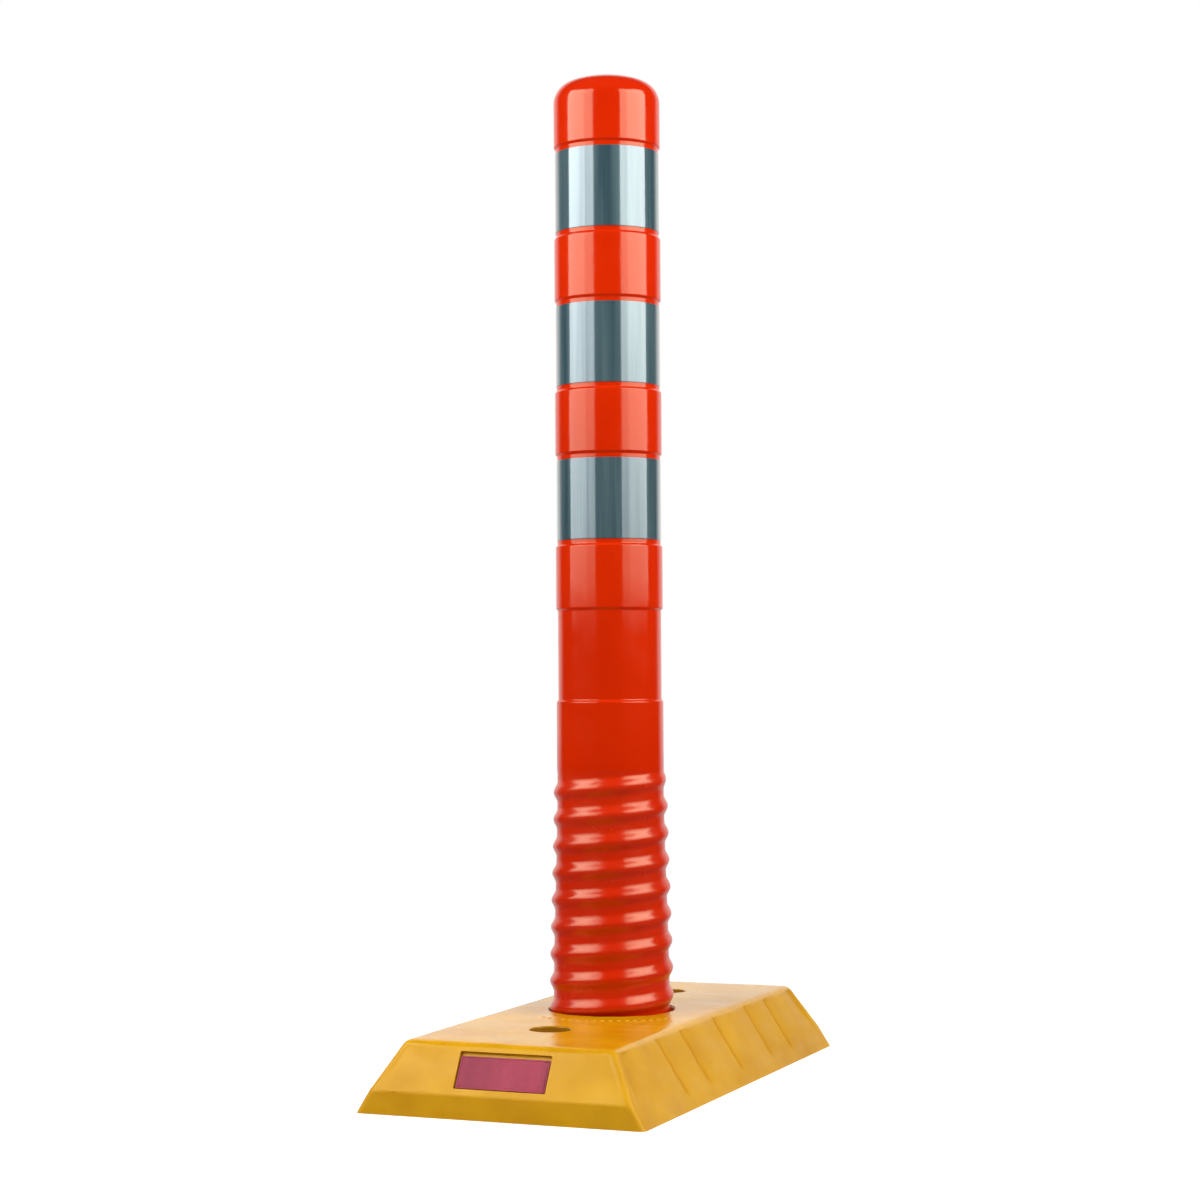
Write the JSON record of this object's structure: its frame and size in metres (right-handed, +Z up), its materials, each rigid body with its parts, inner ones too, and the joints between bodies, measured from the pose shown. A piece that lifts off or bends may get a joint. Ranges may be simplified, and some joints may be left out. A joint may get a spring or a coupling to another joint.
{
  "type": "delineator post",
  "caption": "Flexible round delineator post with a rounded top, reflective bands and a ridged bending foot, standing in a low sloped base with end reflectors.",
  "frame": {"origin": "centre of the base's underside, on the ground below the post's axis", "axes": "+Z up along the post; Y along the base's length and the traffic, so that the reflectors face -Y and +Y; +X to the side"},
  "size_m": [0.213, 0.416, 0.75],
  "materials": {
    "base_yellow": "moulded polymer, semi-gloss, slightly uneven",
    "post_orange": "glossy polyurethane",
    "retroreflective_film": "silver retroreflective film, glossy",
    "reflector_red": "pink-red prismatic retroreflective tile"
  },
  "bodies": {
    "base": {"base_block": "base_yellow", "reflector_front": "reflector_red", "reflector_rear": "reflector_red", "post_foot": "post_orange"},
    "flex_a": {"flex_ring_1": "post_orange"},
    "flex_b": {"flex_ring_2": "post_orange"},
    "flex_c": {"flex_ring_3": "post_orange"},
    "flex_d": {"flex_ring_4": "post_orange"},
    "flex_e": {"flex_ring_5": "post_orange"},
    "post": {"flex_ring_6": "post_orange", "post_tube": "post_orange", "band_upper": "retroreflective_film", "band_middle": "retroreflective_film", "band_lower": "retroreflective_film"}
  },
  "joints": [
    {"name": "bend_along", "type": "hinge", "parent": "base", "child": "flex_a", "pos_m": [0, 0, 0.065], "axis": [1, 0, 0], "range_deg": [-30, 30], "stiffness_Nm_per_rad": 48, "deforming": ["flex_ring_1"]},
    {"name": "bend_along_2", "type": "hinge", "parent": "flex_a", "child": "flex_b", "pos_m": [0, 0, 0.095], "axis": [1, 0, 0], "range_deg": [-30, 30], "stiffness_Nm_per_rad": 48, "deforming": ["flex_ring_2"]},
    {"name": "bend_along_3", "type": "hinge", "parent": "flex_b", "child": "flex_c", "pos_m": [0, 0, 0.125], "axis": [1, 0, 0], "range_deg": [-30, 30], "stiffness_Nm_per_rad": 48, "deforming": ["flex_ring_3"]},
    {"name": "bend_across", "type": "hinge", "parent": "flex_c", "child": "flex_d", "pos_m": [0, 0, 0.155], "axis": [0, 1, 0], "range_deg": [-30, 30], "stiffness_Nm_per_rad": 48, "deforming": ["flex_ring_4"]},
    {"name": "bend_across_2", "type": "hinge", "parent": "flex_d", "child": "flex_e", "pos_m": [0, 0, 0.185], "axis": [0, 1, 0], "range_deg": [-30, 30], "stiffness_Nm_per_rad": 48, "deforming": ["flex_ring_5"]},
    {"name": "bend_across_3", "type": "hinge", "parent": "flex_e", "child": "post", "pos_m": [0, 0, 0.215], "axis": [0, 1, 0], "range_deg": [-30, 30], "stiffness_Nm_per_rad": 48, "deforming": ["flex_ring_6"]}
  ],
  "couplings": [
    {"joint": "bend_along_2", "follows": "bend_along", "ratio": 1},
    {"joint": "bend_along_3", "follows": "bend_along", "ratio": 1},
    {"joint": "bend_across_2", "follows": "bend_across", "ratio": 1},
    {"joint": "bend_across_3", "follows": "bend_across", "ratio": 1}
  ]
}
